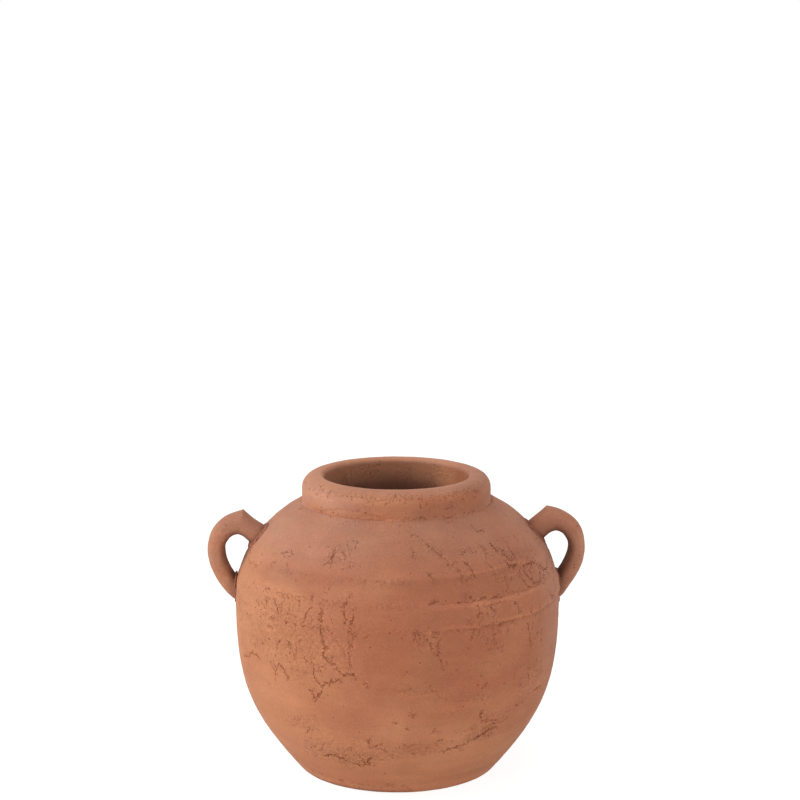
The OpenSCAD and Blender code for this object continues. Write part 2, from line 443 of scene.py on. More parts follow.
front_fine = fine_routes(CRACKLE, CRACK_LEG, seed=21) + fine_routes(PITTED, PIT_LEG, seed=24)
back_fine = fine_routes(back_fields(BACK_FIELDS, seed=22), CRACK_LEG, seed=23)
crack_points = grow_cracks(CRACKS + front_fine, seed=3)
crack_points += grow_cracks(back_routes(BACK_CRACKS, seed=11) + back_fine, seed=5)
crack_tree = KDTree(len(crack_points))
for number, (place, _) in enumerate(crack_points):
    crack_tree.insert(place, number)
crack_tree.balance()


def crack_near(point):
    """How far the nearest crack is from a point, and how wide it is there."""
    _, number, distance = crack_tree.find(point)
    return distance, crack_points[number][1]


NOISE_SHIFT = Vector((17.3, 5.1, 9.7))


def field(points, size, seed):
    """Smooth noise from about -1 to 1 at each point, changing over a length of size."""
    shift = NOISE_SHIFT * seed
    return np.array([noise.noise(Vector(point) / size + shift) for point in points])


def ease(low, high, value):
    """0 up to low and 1 from high on, with a soft change between; low may be the greater."""
    share = np.clip((value - low) / (high - low), 0.0, 1.0)
    return share * share * (3.0 - 2.0 * share)


def between(value, low, in_low, in_high, high):
    """1 from in_low to in_high, with a soft change to 0 at low and at high."""
    return ease(low, in_low, value) * ease(high, in_high, value)


def bell(value, middle, reach):
    """1 at the middle, falling off softly over the reach."""
    return np.exp(-(((value - middle) / reach) ** 2))


WEDGES = 20
FINEST_REACH = 0.7
FRONT_Y = 15.0


def lathe(profile, columns):
    """A closed profile turned once round the vase's axis."""
    form = bmesh.new()
    corners = [form.verts.new((r * MM, 0.0, z * MM)) for r, z in profile]
    line = [form.edges.new(pair) for pair in zip(corners, corners[1:] + corners[:1])]
    wedge = 2.0 * math.pi / WEDGES
    axis = {"cent": (0.0, 0.0, 0.0), "axis": (0.0, 0.0, 1.0)}
    bmesh.ops.spin(form, geom=corners + line, angle=wedge, steps=columns // WEDGES, **axis)
    whole = list(form.verts) + list(form.edges) + list(form.faces)
    bmesh.ops.spin(form, geom=whole, angle=2.0 * math.pi - wedge, steps=WEDGES - 1, use_duplicate=True, **axis)
    bmesh.ops.remove_doubles(form, verts=form.verts, dist=WELD)
    bmesh.ops.recalc_face_normals(form, faces=form.faces)
    return form


def refine_at_cracks(form, reaches):
    """Smaller faces along the cracks, one round of cuts for each reach; the finest only where the front shows them."""
    for reach in reaches:
        near = set()
        for vert in form.verts:
            shown = reach > FINEST_REACH or vert.co.y < FRONT_Y * MM
            if shown and crack_near(vert.co / MM)[0] < reach:
                near.add(vert)
        edges = [edge for edge in form.edges if edge.verts[0] in near and edge.verts[1] in near]
        bmesh.ops.subdivide_edges(form, edges=edges, cuts=1, use_grid_fill=True)
    on_edges = {vert for vert in form.verts if len(vert.link_edges) == 2}
    uneven = [face for face in form.faces if len(face.verts) > 4 or not on_edges.isdisjoint(face.verts)]
    bmesh.ops.triangulate(form, faces=uneven, quad_method="BEAUTY", ngon_method="BEAUTY")


def turn_of(points):
    """Degrees from the front, plus to the right."""
    return np.degrees(np.arctan2(points[:, 0], -points[:, 1]))


def rightness(points):
    """How far to the right each point lies round the vase, from -1 to 1."""
    return np.sin(np.radians(turn_of(points)))


def from_axis(points):
    return np.hypot(points[:, 0], points[:, 1])


def push_radially(points, amount):
    radius = np.maximum(from_axis(points), 1.0)
    points[:, 0] += points[:, 0] / radius * amount
    points[:, 1] += points[:, 1] / radius * amount


def slide_up(points, rise):
    """Moves points up the wall, keeping their distance from its outer line."""
    before = radius_on(OUTSIDE, points[:, 2])
    points[:, 2] += rise
    push_radially(points, radius_on(OUTSIDE, points[:, 2]) - before)


RIGHT_FULLER = 0.95


def wobble(points):
    """How far a hand-thrown wall strays from true, the same for every piece of it."""
    to_right = np.maximum(0.0, rightness(points))
    return RIGHT_FULLER * to_right**2 + 0.22 * field(points, 70.0, 1) + 0.10 * field(points, 26.0, 2) - 0.30


def soft_skin(points):
    """The soft unevenness of clay smoothed by hand."""
    return 0.10 * field(points, 11.0, 3) + 0.05 * field(points, 4.0, 4)


RIM_FACE = (211.0, 220.0)


def buff_and_light_at(points):
    """Where the clay is paler and yellower: at the left, which is painted light, low down, on the rim, and in soft
    patches.
    """
    z, to_left = points[:, 2], -rightness(points)
    to_back = -np.cos(np.radians(turn_of(points)))
    up = ease(150.0, 178.0, z)
    # Painted light at the left
    left = ease(0.3 + 0.4 * up, 0.85 + 0.12 * up, to_left + 0.12 * field(points, 30.0, 41)) * ease(212.0, 180.0, z)
    low = ease(95.0, 40.0, z + 9.0 * field(points, 35.0, 42)) * (1.0 - 0.7 * ease(0.7, 0.95, -to_left))
    rim = ease(*RIM_FACE, z) * ease(0.3, 0.9, np.maximum(to_left, to_back))
    patch = ease(0.1, 0.5, field(points, 38.0, 44))
    return np.clip(np.maximum(np.maximum(0.8 * left, low), rim) + 0.35 * patch, 0.0, 1.0)


# Ruddy patches, where the clay is redder and holds less dust: degrees from the front, height, reach across and
# up, strength
RUDDY = [
    (18, 169, 28, 13, 0.8),
    (-4, 187, 13, 8, 0.35),
    (9, 112, 9, 20, 1.0),
    (4, 48, 11, 16, 0.35),
    (34, 48, 12, 14, 0.4),
    (19, 161, 12, 8, 0.6),
    (10, 151, 8, 8, 0.5),
    (50, 58, 12, 24, 0.8),
    (2, 27, 7, 9, 0.5),
    (-66, 167, 10, 7, 0.4),
]

# Paler patches, in the same terms
PALE = [
    (-22, 112, 13, 34, 1.0),
    (-16, 169, 14, 10, 1.0),
    (34, 82, 15, 14, 0.8),
    (47, 150, 8, 26, 0.6),
    (-6, 80, 9, 14, 0.6),
    (-19, 230, 17, 7, 1.0),
    (32, 231, 10, 6, 0.6),
    (34, 113, 13, 14, 0.6),
    (-8, 66, 15, 16, 0.5),
]

# Dull, dusty patches, in the same terms
DULL = [
    (30, 214, 34, 11, 1.0),
    (-50, 172, 13, 8, 0.7),
]


def patches_at(points, patches):
    """How far each point lies inside any of the patches, from 0 to 1."""
    turn = turn_of(points)
    stray = 0.25 * field(points, 22.0, 45)
    total = np.zeros(len(points))
    for middle, height, across, up, strength in patches:
        off = np.hypot((turn - middle) / across, (points[:, 2] - height) / up)
        total = np.maximum(total, strength * ease(1.3, 0.4, off + stray))
    return total


def dust_and_sheen_at(points):
    """Where pale dust lies on what faces up, most at the neck, and at the foot; more of it at the left is painted
    light, and at the far sides painted sheen.
    """
    z, to_right = points[:, 2], rightness(points)
    run = np.gradient(OUTSIDE, axis=0)
    facing_up = -run[:, 0] / np.hypot(run[:, 0], run[:, 1])
    upward = ease(-0.05, 0.75, np.interp(z, OUTSIDE[:, 1], facing_up))
    outer = from_axis(points) > radius_on(OUTSIDE, z) - 0.5 * WALL_T
    upward = upward * outer * (z > 0.5 * BELLY_Z) * (z < NECK_Z)
    left = ease(0.1, -0.8, to_right)
    high = ease(176.0, 203.0, z + 7.0 * left)
    # Painted sheen at the far left and right sides
    far_right = ease(0.72, 0.97, to_right) * ease(45.0, 125.0, z)
    far_left = ease(-0.8, -0.98, to_right) * ease(155.0, 195.0, z)
    lying = upward * (0.3 + 0.7 * high * (0.35 + 0.65 * left))
    low = 0.25 * ease(12.0, 4.0, z)
    return np.maximum(np.maximum(lying, low), 0.75 * (far_right + far_left) * outer)


def read_mesh(source, name, count):
    """Triples of numbers, read from a mesh's vertices or normals."""
    numbers = np.empty(count * 3, np.float32)
    source.foreach_get(name, numbers)
    return numbers.reshape(-1, 3).astype(float)


def finish_piece(node, form, slot, relief):
    """Makes the piece, gives it its relief, and seats it in place of its CAD node."""
    name = node + "_clay"
    mesh = bpy.data.meshes.new(name)
    form.to_mesh(mesh)
    form.free()
    count = len(mesh.vertices)
    points = read_mesh(mesh.vertices, "co", count) / MM
    moved, values = relief(points, read_mesh(mesh.vertex_normals, "vector", count))
    ruddy, pale, dull = (patches_at(points, patches) for patches in (RUDDY, PALE, DULL))
    dust_and_sheen = np.maximum(values.get("dust_and_sheen", 0.0), dust_and_sheen_at(points) * (1.0 - 0.8 * ruddy))
    values["buff_and_light"] = np.clip(buff_and_light_at(points) + 0.5 * pale, 0.0, 1.0) * (1.0 - 0.7 * ruddy)
    values["dust_and_sheen"] = np.clip(dust_and_sheen + 0.2 * dull, 0.0, 1.0)
    values["shade_and_grime"] = np.maximum(values.get("shade_and_grime", 0.0), np.maximum(0.1 * ruddy, 0.12 * dull))
    low, high = (np.array(corner) / MM for corner in CAD_BOX)
    moved = np.clip(moved, low, high)
    mesh.vertices.foreach_set("co", (moved * MM).astype(np.float32).ravel())
    for value_name, value in values.items():
        layer = mesh.attributes.new(value_name, "FLOAT", "POINT")
        layer.data.foreach_set("value", np.asarray(value, np.float32))
    mesh.polygons.foreach_set("use_smooth", np.ones(len(mesh.polygons), bool))
    mesh.materials.append(FINISHES[slot])
    mesh.update()
    piece = bpy.data.objects.new(name, mesh)
    bpy.context.scene.collection.objects.link(piece)
    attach(piece, "root")
    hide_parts(node)


# Worn patches: degrees from the front, height, and how far each reaches across and up
WORN = [
    (-46, 128, 28, 28),
    (-28, 38, 24, 13),
    (-38, 62, 10, 9),
    (50, 177, 17, 16),
    (31, 57, 13, 11),
    (52, 90, 10, 18),
    (-27, 192, 7, 8),
    (3, 46, 18, 7),
]
WORN_NEAR_CRACK = 3.0
NO_CRACK = 99.0


def cracks_at(points, outer):
    """At each point of the outer skin: how open a crack is, from 0 to 1, its depth, its raised edge, which is painted
    as a highlight, and the gap to it.
    """
    gap = np.full(len(points), NO_CRACK)
    width = np.ones(len(points))
    for number in np.flatnonzero(outer):
        gap[number], width[number] = crack_near(points[number])
    reach = CRACK_SPREAD + CRACK_REACH * width
    share = np.maximum(0.0, 1.0 - gap / reach)
    lip = width * bell(gap, 1.35 * reach, 0.45 * reach)
    depth = CRACK_DEPTH * width * ease(0.2, 1.0, share) - CRACK_LIP * lip
    return share * ease(0.0, 0.72, width), depth, lip, gap


def crumbly(points):
    """Where clay along a seam has crumbled, from 0 to 1."""
    return ease(-0.3, 0.3, field(points, 20.0, 6))


def worn_at(points, gap):
    """How worn the skin is: in patches, beside cracks, and here and there round the back."""
    turn = turn_of(points)
    stray = 0.3 * field(points, 12.0, 18)
    total = 0.55 * bell(gap, 0.0, WORN_NEAR_CRACK)
    for middle, height, across, up in WORN:
        off = np.hypot((turn - middle) / across, (points[:, 2] - height) / up)
        total = np.maximum(total, ease(1.15, 0.55, off + stray))
    back = ease(60.0, 80.0, np.abs(turn)) * ease(0.05, 0.35, field(points, 45.0, 19))
    return np.maximum(total, back)


THROWING_PITCH = 7.5
RINGS_OUTSIDE = 0.09
RINGS_INSIDE = 0.35
RIDGE_HEIGHT = 1.25
GROOVE_DEPTH = 0.45
SEAMS = (BAND_LOW - 1.5, BAND_TOP + 1.5, RIDGE_Z - 1.5, NECK_Z - 1.5)
SEAM_REACH = 3.0

# Swellings of the wall near the handles: degrees from the front, height, reach across and up, amount
SWELLS = [
    (92, 174, 22, 15, 1.1),
    (95, 201, 32, 9, 1.0),
    (-92, 203, 30, 8, 0.5),
]


def wall_relief(points, normals):
    """The relief of the thrown walls, inside and out."""
    z, turn, radius = points[:, 2], turn_of(points), from_axis(points)
    inner_skin = radius_on(INSIDE, z)
    outer = (radius > inner_skin + 0.6 * WALL_T) & (z > 0.5)
    inside = np.where(radius < inner_skin + 0.4 * WALL_T, 1.0, 0.0)
    soft = soft_skin(points)
    wave = np.sin(2.0 * math.pi * z / THROWING_PITCH + 2.0 * field(points, 45.0, 5))
    rings = wave * (0.5 + 0.5 * field(points, 50.0, 7))
    share, depth, lip, gap = cracks_at(points, outer)
    worn = worn_at(points, gap)
    crumble = np.max([bell(z, seam, SEAM_REACH) for seam in SEAMS], axis=0) * crumbly(points)
    crumble = np.maximum(crumble, ease(7.0, 3.0, z) * between(turn, -90.0, -65.0, -18.0, -2.0))
    worn = np.maximum(crumble, worn)
    torn = worn * np.maximum(0.0, field(points, 2.4, 8)) * 0.35

    # The throwing ridge, strongest at the right front, where it climbs a little and then drops
    strong = 0.2 + 0.8 * between(turn, -35.0, 5.0, 56.0, 72.0)
    height = z + 0.8 * field(points, 30.0, 9) - 2.0 * between(turn, 5.0, 40.0, 110.0, 160.0)
    height = height + 5.0 * between(turn, 44.0, 64.0, 110.0, 160.0)
    ridge = RIDGE_HEIGHT * ease(192.0, RIDGE_Z, height) * ease(RIDGE_Z - 2.2, RIDGE_Z, height)
    groove = GROOVE_DEPTH * bell(height, RIDGE_Z - 3.0, 1.6)
    swell = sum(amount * bell(turn, side, across) * bell(z, level, up) for side, level, across, up, amount in SWELLS)
    smear = 0.8 * ease(NECK_Z - 6.0, NECK_Z, z) * (0.5 + 0.5 * field(points, 18.0, 20))
    above_band = z > BAND_TOP
    raised = (strong * (ridge - groove) + swell + smear) * above_band
    offset = np.where(outer, soft + RINGS_OUTSIDE * rings - depth - torn + raised, soft + RINGS_INSIDE * rings)
    moved = points + normals * offset[:, None]
    push_radially(moved, wobble(points))

    # Painted shade on the wall behind the handles, and darkening along the foot's lower edge at the left front
    beside = np.hypot((np.abs(turn) - 93.0) / 13.0, (z - 172.0) / 13.0) + 0.35 * field(points, 9.0, 37)
    foot = ease(3.2, 0.8, z + 1.2 * field(points, 4.0, 44)) * between(turn, -80.0, -55.0, -15.0, 15.0)
    shade_and_grime = np.maximum(0.5 * ease(1.15, 0.2, beside), 0.55 * foot) * outer

    # Painted highlights: the ridge's crest, a broken line under the band, and the foot, lit from the floor
    crest = 0.55 * strong * above_band * bell(height, RIDGE_Z + 0.2, 0.8)
    lip = np.maximum(lip, crest * ease(10.0, 22.0, turn))
    crumbs_and_highlights = bell(z, BAND_LOW - 2.2, 1.5) * between(turn, 4.0, 9.0, 22.0, 32.0)
    lip = np.maximum(lip, 1.3 * crumbs_and_highlights * ease(0.0, 0.35, field(points, 1.7, 35)))
    lip = np.maximum(lip, 0.75 * ease(12.0, 4.0, z)) * outer
    worn = np.where(outer, worn, 0.2)
    return moved, {"crack_and_fold_shade": share, "lip": lip, "worn": worn, "inside": inside, "shade_and_grime": shade_and_grime}


def band_relief(points, normals):
    """The band: feathered into the wall at the front, torn along its edges elsewhere."""
    z, turn = points[:, 2], turn_of(points)
    proud = from_axis(points) - radius_on(OUTSIDE, z)
    outer = proud > -0.15
    middle = (BAND_LOW + BAND_TOP) / 2
    edge = (z - middle) / (BAND_TOP - middle)
    upper, aside = edge > 0.0, np.abs(edge)
    stray = 0.8 * field(points, 14.0, 10) + 0.8 * field(points, 4.5, 11) + 0.5 * field(points, 1.9, 12)
    share, depth, lip, gap = cracks_at(points, outer)
    crumble = ease(0.5, 0.9, aside) * crumbly(points)
    worn = np.maximum(worn_at(points, gap), crumble)
    torn = worn * np.maximum(0.0, field(points, 2.4, 8) + 0.1) * 0.5
    torn += crumble * np.maximum(0.0, field(points, 3.1, 25)) * 0.8
    far = between(turn, 50.0, 66.0, 105.0, 130.0)
    hidden = np.maximum(between(turn, -170.0, -110.0, 6.0, 24.0), np.where(upper, 0.9 * far, 0.4 * far))
    flattened = np.maximum(hidden, np.where(upper, 0.6, 0.35))
    back = ease(135.0, 165.0, np.abs(turn))
    low_left = 0.5 * between(turn, -140.0, -110.0, -55.0, -30.0)
    sunk = (1.0 - low_left) * BAND_PROUD * ease(0.95, 0.05, aside) ** 1.5 - BAND_SINK
    feather = flattened * (proud - sunk) + 0.9 * back
    lips = BAND_LIP * (1.0 - hidden) * (1.0 - back) * bell(aside, 0.86, 0.13)
    lips = lips * (1.0 + 0.6 * field(points, 9.0, 29))
    offset = np.where(outer, soft_skin(points) + lips - depth - torn, 0.0)
    moved = points + normals * offset[:, None]
    push_radially(moved, -feather * outer)
    slide_up(moved, BAND_SPREAD * edge - stray * np.sign(edge) * ease(0.5, 1.0, aside))
    push_radially(moved, wobble(points))
    # Painted highlights along the band's edges
    band_edge_highlight = 0.7 * (1.0 - hidden) * bell(aside, 0.8, 0.16)
    return moved, {"crack_and_fold_shade": share, "lip": np.maximum(lip, band_edge_highlight) * outer, "worn": worn * outer}


FOLD_TOP = 219.5
FOLD_MIDDLE = -31.0
FOLD_REACH = 26.0
FOLD_DROP = 7.0
FOLD_DEPTH = 0.65
PITTED_Z = 229.5
OUTSIDE_R = 70.0


def rim_relief(points, normals):
    """The rolled rim: uneven crest, smeared foot, pits below the lip and an arched fold at the left front."""
    x, y, z = points.T
    radius, turn, to_right = from_axis(points), turn_of(points), rightness(points)
    soft = 0.16 * field(points, 12.0, 3) + 0.07 * field(points, 4.0, 4)
    outside = radius > OUTSIDE_R
    smear = 0.7 * field(points, 17.0, 13) * ease(NECK_Z + 4.0, NECK_Z - 0.5, z) * outside
    aside = (turn - FOLD_MIDDLE) / FOLD_REACH
    fold_z = FOLD_TOP - FOLD_DROP * aside**2 + 0.5 * field(points, 9.0, 14)
    fold = ease(1.1, 0.9, np.abs(aside)) * ease(fold_z + 0.35, fold_z - 0.35, z) * outside
    worn = bell(z, PITTED_Z, 3.2) * (radius > 66.0) * ease(-0.4, 0.1, field(points, 20.0, 15))
    seam = bell(z, NECK_Z, 3.0) * outside
    worn = np.maximum(worn, seam * ease(-0.2, 0.3, field(points, 15.0, 26)))
    worn = np.maximum(worn, 0.4 * ease(0.1, 0.4, field(points, 18.0, 27)))
    inner = (radius < MOUTH_R + 3.0) & (z < 230.0)
    worn = np.where(inner, 0.7 * ease(-0.3, 0.3, field(points, 14.0, 28)), worn)
    torn = worn * np.maximum(0.0, field(points, 2.2, 16)) * 0.4
    share, depth, lip, _ = cracks_at(points, radius > 65.0)
    moved = points + normals * (soft + smear - torn - depth - FOLD_DEPTH * fold)[:, None]
    moved[:, 2] -= (0.12 + 0.12 * field(points, 40.0, 17)) * ease(222.0, 232.0, z)
    push_radially(moved, wobble(points) + 0.15 * outside)
    moved[:, 0] -= RIM_SHIFT

    # Painted shade under the fold, and dark lines along the seam
    open_seam = ease(-0.05, 0.25, field(points, 16.0, 30)) * outside
    line = np.maximum(0.3 * fold * ease(1.6, 0.3, fold_z - z), 0.6 * open_seam * bell(z, NECK_Z - 0.4, 0.8))

    # The shaded inside, lighter at the back right, and painted shade at its back
    inside = (radius < MOUTH_R + 4.0) * ease(233.0, 230.0, z) * (0.35 + 0.65 * ease(228.0, BORE_LOW, z))
    inside = np.maximum(inside, ease(BORE_LOW + 2.0, BORE_LOW - 1.0, z) * (radius < 69.0))
    inside = inside * (1.0 - 0.95 * ease(30.0, 48.0, x) * ease(-20.0, 10.0, y))
    shade_and_grime = 0.65 * inside * bell(x, 4.0, 36.0) * ease(42.0, 28.0, x) * (y > 0.0)

    # Dust on the crest, and painted light on the left of the rim's face
    crest = (0.7 + 0.2 * ease(0.1, 0.7, to_right)) * ease(228.0, 232.5, z)
    face = (0.1 + 0.85 * ease(0.0, -0.85, to_right)) * ease(*RIM_FACE, z) * outside
    values = {"crack_and_fold_shade": np.maximum(line, share), "lip": lip, "worn": worn, "inside": inside}
    return moved, values | {"dust_and_sheen": np.maximum(crest, face), "shade_and_grime": shade_and_grime}


FLOOR_RING = 8.0


def floor_relief(points, normals):
    """A floor left with soft turning rings."""
    z, radius = points[:, 2], from_axis(points)
    rings = 0.25 * np.sin(2.0 * math.pi * radius / FLOOR_RING)
    soft = 0.25 * field(points, 20.0, 3) * (radius < 70.0)
    moved = points.copy()
    moved[:, 2] += (rings + soft) * (z > FLOOR_T - 0.5)
    push_radially(moved, wobble(points) * ease(40.0, 66.0, radius))
    flat = np.zeros(len(points))
    return moved, {"crack_and_fold_shade": flat, "worn": flat + 0.3, "inside": (z > 0.5 * FLOOR_T) * 1.0}


# Handles: pairs of places on the outer and the inner edge, as distance from the axis and height
LEFT_ROOT = [
    ((101.5, 190), (113, 177)),
    ((105.5, 193.5), (117, 180.8)),
    ((113, 198.3), (121, 184.4)),
    ((120.8, 205.6), (125.2, 186.2)),
]
LEFT_LOOP = [
    ((120.8, 205.6), (125.2, 186.2)),
    ((130.5, 202.3), (129.2, 185)),
    ((139.2, 197.2), (132.6, 182)),
    ((145.7, 189.5), (134.8, 177.8)),
    ((149.3, 178), (135, 172)),
    ((148.4, 165.5), (133.4, 165)),
    ((143.4, 152), (130.4, 158.3)),
    ((136.8, 141.2), (127, 153.4)),
    ((128.8, 133.8), (124, 150)),
    ((123.5, 132), (121, 147.5)),
]
RIGHT_ROOT = [
    ((101.5, 190.5), (113, 177)),
    ((105.5, 194.3), (117, 180.6)),
    ((111.8, 199.6), (121.6, 184.6)),
    ((119.2, 206.2), (126.5, 186.4)),
]
RIGHT_LOOP = [
    ((119.2, 206.2), (126.5, 186.4)),
    ((127.5, 204.2), (130, 185.2)),
    ((138.8, 198.4), (133.2, 182)),
    ((146, 190), (135.6, 177.6)),
    ((149.5, 178.5), (136.2, 172)),
    ((149, 164.5), (134.2, 164.6)),
    ((144.8, 153), (131.2, 158.6)),
    ((139.8, 144.5), (128.3, 154)),
    ((130.5, 132.5), (124.5, 150)),
    ((124.5, 129), (121, 147.5)),
]
LOOP_MIDDLE = (128.0, 170.0)
BAR_HALF_WIDTH = 10.4
BAR_SIDES = 56
BAR_STEP = 1.1
SECTION_SQUARE = 2.5
SECTION_ROUND = 2.0


def smooth_run(pairs, step):
    """A smooth run of pairs through the given ones."""
    corners = np.array([outer + inner for outer, inner in pairs], float)
    gaps = np.linalg.norm(np.diff((corners[:, :2] + corners[:, 2:]) / 2, axis=0), axis=1)
    along = np.concatenate(([0.0], np.cumsum(gaps)))
    slopes = np.gradient(corners, along, axis=0)
    places = np.linspace(0.0, along[-1], max(2, round(along[-1] / step) + 1))
    run = []
    for place in places:
        number = min(np.searchsorted(along, place, side="right") - 1, len(along) - 2)
        span = along[number + 1] - along[number]
        t = (place - along[number]) / span
        run.append(
            (2 * t**3 - 3 * t**2 + 1) * corners[number]
            + (t**3 - 2 * t**2 + t) * span * slopes[number]
            + (3 * t**2 - 2 * t**3) * corners[number + 1]
            + (t**3 - t**2) * span * slopes[number + 1]
        )
    return run


def laid_section(first, second, third, middle):
    """The matrix that lays a unit section's three directions along the given ones, about a middle."""
    place = Matrix((first, second, third)).transposed().to_4x4()
    place.translation = middle
    return Matrix.Scale(MM, 4) @ place


def section_place(pair, side):
    """The matrix that lays a unit section between an outer and an inner place."""
    outer = Vector((side * pair[0], 0.0, pair[1]))
    inner = Vector((side * pair[2], 0.0, pair[3]))
    across = (outer - inner) / 2
    width = Vector((0.0, BAR_HALF_WIDTH, 0.0))
    return laid_section(across, width, across.cross(width).normalized(), (outer + inner) / 2)


def drawn_out(places, sides, square):
    """A rounded section carried through a run of places; gives the form, the section and the two end rings."""
    form = bmesh.new()
    bmesh.ops.create_circle(form, segments=sides, radius=1.0)
    for vert in form.verts:
        vert.co.xy = [math.copysign(abs(part) ** (2.0 / square), part) for part in vert.co.xy]
    section = [vert.co.copy() for vert in form.verts]
    bmesh.ops.transform(form, matrix=places[0], verts=form.verts)
    first_ring = ring = list(form.edges)
    for before, after in zip(places, places[1:]):
        grown = bmesh.ops.extrude_edge_only(form, edges=ring)["geom"]
        verts = [item for item in grown if isinstance(item, bmesh.types.BMVert)]
        fresh = set(verts)
        ring = [item for item in grown if isinstance(item, bmesh.types.BMEdge) and fresh.issuperset(item.verts)]
        bmesh.ops.transform(form, matrix=after @ before.inverted(), verts=verts)
    return form, section, first_ring, ring


CORNER_REACH = 6.0
CORNER_ROUNDS = 8
CORNER_KEPT = 0.2


def soften_corner(form, side, outer, inner):
    """Eases the crease that runs in from a bar's pinched corner, leaving the corner itself."""
    outer, inner = (Vector((side * place[0], 0.0, place[1])) for place in (outer, inner))
    across = inner - outer
    soft = []
    for vert in form.verts:
        away = Vector((vert.co.x / MM, 0.0, vert.co.z / MM)) - outer
        share = away.dot(across) / across.length_squared
        if share > CORNER_KEPT and (away - share * across).length < CORNER_REACH:
            soft.append(vert)
    for _ in range(CORNER_ROUNDS):
        bmesh.ops.smooth_vert(form, verts=soft, factor=0.5, use_axis_x=True, use_axis_y=True, use_axis_z=True)


def root_line(strands):
    """Where a bar's strands come out of the skin, as a closed line."""
    gap = np.hypot(strands[..., 0], strands[..., 1]) - skin_radius(strands[..., 2])
    line = []
    for number in range(strands.shape[1]):
        first = max(1, int(np.argmax(gap[:, number] > 0.0)))
        low, high = gap[first - 1, number], gap[first, number]
        share = np.clip(-low / (high - low), 0.0, 1.0)
        line.append((1.0 - share) * strands[first - 1, number] + share * strands[first, number])
    line = np.array(line)
    return (np.roll(line, 1, axis=0) + 2.0 * line + np.roll(line, -1, axis=0)) / 4.0


def handle_form(side, root, loop):
    """A bar from the shoulder to its pinched corner, round the loop and down to the belly; and its two root lines."""
    run = smooth_run(root, BAR_STEP) + smooth_run(loop, BAR_STEP)[1:]
    places = [section_place(pair, side) for pair in run]
    form, section, first_ring, last_ring = drawn_out(places, BAR_SIDES, SECTION_SQUARE)
    soften_corner(form, side, *root[-1])
    bmesh.ops.edgeloop_fill(form, edges=first_ring)
    bmesh.ops.edgeloop_fill(form, edges=last_ring)
    bmesh.ops.recalc_face_normals(form, faces=form.faces)
    strands = np.array([[list(place @ corner / MM) for corner in section] for place in places])
    return form, root_line(strands), root_line(strands[::-1])


def handle_relief(points, normals):
    """Finger-pressed clay, with painted shade round the inside of the loop and at the roots."""
    x, z = points[:, 0], points[:, 2]
    at_right = x > 0.0
    lumps = 0.35 * field(points, 15.0, 21) + 0.16 * field(points, 6.0, 22) + 0.07 * field(points, 2.6, 23)
    moved = points + normals * (lumps - 0.15)[:, None]
    worn = 0.15 + 0.5 * ease(0.0, 0.4, field(points, 13.0, 24))
    inward = np.column_stack([np.sign(x) * LOOP_MIDDLE[0] - x, LOOP_MIDDLE[1] - z])
    inward /= np.maximum(np.linalg.norm(inward, axis=1), 1.0)[:, None]
    facing = inward[:, 0] * normals[:, 0] + inward[:, 1] * normals[:, 2]
    # Painted shade on faces turned into the loop, more low down and on the right handle, and near the roots where the
    # bar meets the wall
    shade_and_grime = 0.5 * ease(0.0, 1.0, facing + 0.15 * field(points, 9.0, 33))
    shade_and_grime = shade_and_grime + 0.3 * ease(163.0, 152.0, z) * ease(0.0, 0.8, facing)
    shade_and_grime = shade_and_grime + np.where(at_right, 0.3 * ease(-0.5, 0.6, facing), 0.1)
    gap = from_axis(points) - skin_radius(z)
    shade_and_grime = shade_and_grime + 0.35 * ease(8.0, 2.0, gap + 2.5 * field(points, 4.0, 36))
    # Pale dust; less of it on the right handle is painted shade on the side away from the light
    dust_and_sheen = np.clip(0.6 - 0.4 * at_right + 0.7 * field(points, 16.0, 34), 0.05, 1.0)
    return moved, {"worn": worn, "shade_and_grime": np.clip(shade_and_grime, 0.0, 1.0), "dust_and_sheen": dust_and_sheen}


LUTING_SIDES = 16
UPPER_ROOTS = BELLY_Z + 30.0

# How full each luting's bead is, and how far it is held out of the wall
LEFT_UPPER_BEAD = (1.1, 0.0)
LEFT_LOWER_BEAD = (0.8, 0.0)
RIGHT_UPPER_BEAD = (1.35, 0.85)
RIGHT_LOWER_BEAD = (1.15, 0.6)
THINNER_BELOW = 0.3
LEAN_SPAN = 2.0
LEAST_WIDE = 0.7
LEAST_HIGH = 0.45


